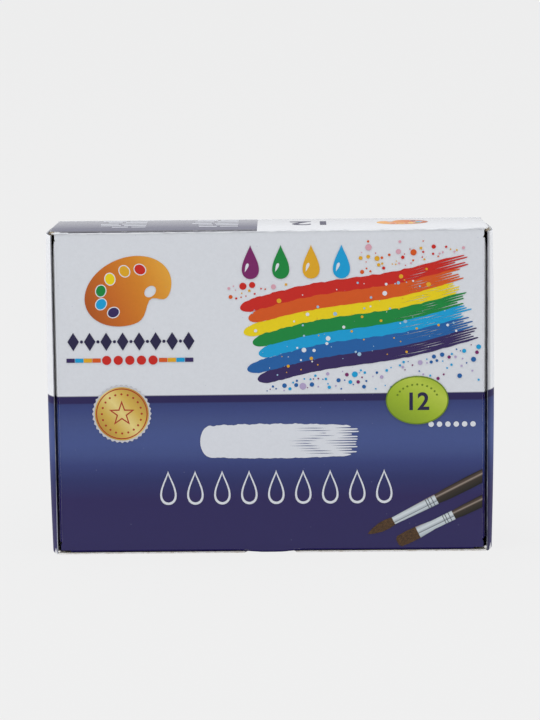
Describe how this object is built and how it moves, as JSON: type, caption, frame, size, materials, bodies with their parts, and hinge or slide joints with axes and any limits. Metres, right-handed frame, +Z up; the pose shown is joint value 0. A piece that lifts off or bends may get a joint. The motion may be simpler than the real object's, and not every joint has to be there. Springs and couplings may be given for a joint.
{
  "type": "gouache paint box",
  "caption": "Folding paperboard box with a hinged tuck-in lid, holding rows of screw-capped jars of gouache paint.",
  "frame": {"origin": "middle of the footprint of the box as it stands on its front wall", "axes": "+X along the width, +Y from the lid back to the base panel, +Z up towards the lid's crease"},
  "size_m": [0.1716, 0.04, 0.1242],
  "materials": {
    "printed_paperboard": "satin",
    "plain_paperboard": "matte",
    "jar_polypropylene": "satin",
    "cap_white": "satin",
    "paint_white": "matte",
    "cap_lemon_yellow": "satin",
    "paint_lemon_yellow": "matte",
    "cap_golden_yellow": "satin",
    "paint_golden_yellow": "matte",
    "cap_orange": "satin",
    "paint_orange": "matte",
    "cap_scarlet": "satin",
    "paint_scarlet": "matte",
    "cap_carmine": "satin",
    "paint_carmine": "matte",
    "cap_violet": "satin",
    "paint_violet": "matte",
    "cap_ultramarine": "satin",
    "paint_ultramarine": "matte",
    "cap_sky_blue": "satin",
    "paint_sky_blue": "matte",
    "cap_emerald_green": "satin",
    "paint_emerald_green": "matte",
    "cap_umber_brown": "satin",
    "paint_umber_brown": "matte",
    "cap_black": "satin",
    "paint_black": "matte"
  },
  "bodies": {
    "carton": {"base_panel": "plain_paperboard", "hinge_wall": "printed_paperboard", "front_wall": "printed_paperboard", "side_wall_left": "printed_paperboard", "side_wall_right": "printed_paperboard", "glue_flap_hinge_left": "plain_paperboard", "glue_flap_hinge_right": "plain_paperboard", "glue_flap_front_left": "plain_paperboard", "glue_flap_front_right": "plain_paperboard"},
    "lid": {"lid_panel": "printed_paperboard"},
    "tuck_flap": {"lid_tuck_flap": "printed_paperboard"},
    "ear_left": {"lid_ear_left": "printed_paperboard"},
    "ear_right": {"lid_ear_right": "printed_paperboard"},
    "cap_01": {"cap_01": "cap_white"},
    "jar_01": {"jar_01": "jar_polypropylene", "paint_01": "paint_white"},
    "cap_02": {"cap_02": "cap_lemon_yellow"},
    "jar_02": {"jar_02": "jar_polypropylene", "paint_02": "paint_lemon_yellow"},
    "cap_03": {"cap_03": "cap_golden_yellow"},
    "jar_03": {"jar_03": "jar_polypropylene", "paint_03": "paint_golden_yellow"},
    "cap_04": {"cap_04": "cap_orange"},
    "jar_04": {"jar_04": "jar_polypropylene", "paint_04": "paint_orange"},
    "cap_05": {"cap_05": "cap_scarlet"},
    "jar_05": {"jar_05": "jar_polypropylene", "paint_05": "paint_scarlet"},
    "cap_06": {"cap_06": "cap_carmine"},
    "jar_06": {"jar_06": "jar_polypropylene", "paint_06": "paint_carmine"},
    "cap_07": {"cap_07": "cap_violet"},
    "jar_07": {"jar_07": "jar_polypropylene", "paint_07": "paint_violet"},
    "cap_08": {"cap_08": "cap_ultramarine"},
    "jar_08": {"jar_08": "jar_polypropylene", "paint_08": "paint_ultramarine"},
    "cap_09": {"cap_09": "cap_sky_blue"},
    "jar_09": {"jar_09": "jar_polypropylene", "paint_09": "paint_sky_blue"},
    "cap_10": {"cap_10": "cap_emerald_green"},
    "jar_10": {"jar_10": "jar_polypropylene", "paint_10": "paint_emerald_green"},
    "cap_11": {"cap_11": "cap_umber_brown"},
    "jar_11": {"jar_11": "jar_polypropylene", "paint_11": "paint_umber_brown"},
    "cap_12": {"cap_12": "cap_black"},
    "jar_12": {"jar_12": "jar_polypropylene", "paint_12": "paint_black"}
  },
  "joints": [
    {"name": "lid_open", "type": "hinge", "parent": "carton", "child": "lid", "pos_m": [0, -0.02, 0.1242], "axis": [-1, 0, 0], "range_deg": [0, 199]},
    {"name": "tuck_flap_fold", "type": "hinge", "parent": "lid", "child": "tuck_flap", "pos_m": [0, -0.02, 0.0009], "axis": [-1, 0, 0], "range_deg": [0, 50]},
    {"name": "ear_left_fold", "type": "hinge", "parent": "lid", "child": "ear_left", "pos_m": [-0.0815, -0.02, 0.06], "axis": [0, 0, 1], "range_deg": [0, 40]},
    {"name": "ear_right_fold", "type": "hinge", "parent": "lid", "child": "ear_right", "pos_m": [0.0815, -0.02, 0.06], "axis": [0, 0, -1], "range_deg": [0, 40]},
    {"name": "cap_01_turn", "type": "hinge", "parent": "carton", "child": "cap_01", "pos_m": [-0.0609, -0.019, 0.1035], "axis": [0, -1, 0], "range_deg": [0, 288]},
    {"name": "jar_01_slide", "type": "slide", "parent": "carton", "child": "jar_01", "axis": [0, 1, 0], "range_m": [0, 0.0024]},
    {"name": "cap_02_turn", "type": "hinge", "parent": "carton", "child": "cap_02", "pos_m": [-0.0203, -0.019, 0.1035], "axis": [0, -1, 0], "range_deg": [0, 288]},
    {"name": "jar_02_slide", "type": "slide", "parent": "carton", "child": "jar_02", "axis": [0, 1, 0], "range_m": [0, 0.0024]},
    {"name": "cap_03_turn", "type": "hinge", "parent": "carton", "child": "cap_03", "pos_m": [0.0203, -0.019, 0.1035], "axis": [0, -1, 0], "range_deg": [0, 288]},
    {"name": "jar_03_slide", "type": "slide", "parent": "carton", "child": "jar_03", "axis": [0, 1, 0], "range_m": [0, 0.0024]},
    {"name": "cap_04_turn", "type": "hinge", "parent": "carton", "child": "cap_04", "pos_m": [0.0609, -0.019, 0.1035], "axis": [0, -1, 0], "range_deg": [0, 288]},
    {"name": "jar_04_slide", "type": "slide", "parent": "carton", "child": "jar_04", "axis": [0, 1, 0], "range_m": [0, 0.0024]},
    {"name": "cap_05_turn", "type": "hinge", "parent": "carton", "child": "cap_05", "pos_m": [-0.0609, -0.019, 0.0632], "axis": [0, -1, 0], "range_deg": [0, 288]},
    {"name": "jar_05_slide", "type": "slide", "parent": "carton", "child": "jar_05", "axis": [0, 1, 0], "range_m": [0, 0.0024]},
    {"name": "cap_06_turn", "type": "hinge", "parent": "carton", "child": "cap_06", "pos_m": [-0.0203, -0.019, 0.0632], "axis": [0, -1, 0], "range_deg": [0, 288]},
    {"name": "jar_06_slide", "type": "slide", "parent": "carton", "child": "jar_06", "axis": [0, 1, 0], "range_m": [0, 0.0024]},
    {"name": "cap_07_turn", "type": "hinge", "parent": "carton", "child": "cap_07", "pos_m": [0.0203, -0.019, 0.0632], "axis": [0, -1, 0], "range_deg": [0, 288]},
    {"name": "jar_07_slide", "type": "slide", "parent": "carton", "child": "jar_07", "axis": [0, 1, 0], "range_m": [0, 0.0024]},
    {"name": "cap_08_turn", "type": "hinge", "parent": "carton", "child": "cap_08", "pos_m": [0.0609, -0.019, 0.0632], "axis": [0, -1, 0], "range_deg": [0, 288]},
    {"name": "jar_08_slide", "type": "slide", "parent": "carton", "child": "jar_08", "axis": [0, 1, 0], "range_m": [0, 0.0024]},
    {"name": "cap_09_turn", "type": "hinge", "parent": "carton", "child": "cap_09", "pos_m": [-0.0609, -0.019, 0.0229], "axis": [0, -1, 0], "range_deg": [0, 288]},
    {"name": "jar_09_slide", "type": "slide", "parent": "carton", "child": "jar_09", "axis": [0, 1, 0], "range_m": [0, 0.0024]},
    {"name": "cap_10_turn", "type": "hinge", "parent": "carton", "child": "cap_10", "pos_m": [-0.0203, -0.019, 0.0229], "axis": [0, -1, 0], "range_deg": [0, 288]},
    {"name": "jar_10_slide", "type": "slide", "parent": "carton", "child": "jar_10", "axis": [0, 1, 0], "range_m": [0, 0.0024]},
    {"name": "cap_11_turn", "type": "hinge", "parent": "carton", "child": "cap_11", "pos_m": [0.0203, -0.019, 0.0229], "axis": [0, -1, 0], "range_deg": [0, 288]},
    {"name": "jar_11_slide", "type": "slide", "parent": "carton", "child": "jar_11", "axis": [0, 1, 0], "range_m": [0, 0.0024]},
    {"name": "cap_12_turn", "type": "hinge", "parent": "carton", "child": "cap_12", "pos_m": [0.0609, -0.019, 0.0229], "axis": [0, -1, 0], "range_deg": [0, 288]},
    {"name": "jar_12_slide", "type": "slide", "parent": "carton", "child": "jar_12", "axis": [0, 1, 0], "range_m": [0, 0.0024]}
  ],
  "couplings": [
    {"joint": "tuck_flap_fold", "follows": "lid_open", "ratio": 0.25},
    {"joint": "ear_left_fold", "follows": "lid_open", "ratio": 0.2},
    {"joint": "ear_right_fold", "follows": "lid_open", "ratio": 0.2},
    {"joint": "cap_01_turn", "follows": "jar_01_slide", "rad_per_m": 2094.3},
    {"joint": "cap_02_turn", "follows": "jar_02_slide", "rad_per_m": 2094.3},
    {"joint": "cap_03_turn", "follows": "jar_03_slide", "rad_per_m": 2094.3},
    {"joint": "cap_04_turn", "follows": "jar_04_slide", "rad_per_m": 2094.3},
    {"joint": "cap_05_turn", "follows": "jar_05_slide", "rad_per_m": 2094.3},
    {"joint": "cap_06_turn", "follows": "jar_06_slide", "rad_per_m": 2094.3},
    {"joint": "cap_07_turn", "follows": "jar_07_slide", "rad_per_m": 2094.3},
    {"joint": "cap_08_turn", "follows": "jar_08_slide", "rad_per_m": 2094.3},
    {"joint": "cap_09_turn", "follows": "jar_09_slide", "rad_per_m": 2094.3},
    {"joint": "cap_10_turn", "follows": "jar_10_slide", "rad_per_m": 2094.3},
    {"joint": "cap_11_turn", "follows": "jar_11_slide", "rad_per_m": 2094.3},
    {"joint": "cap_12_turn", "follows": "jar_12_slide", "rad_per_m": 2094.3}
  ]
}
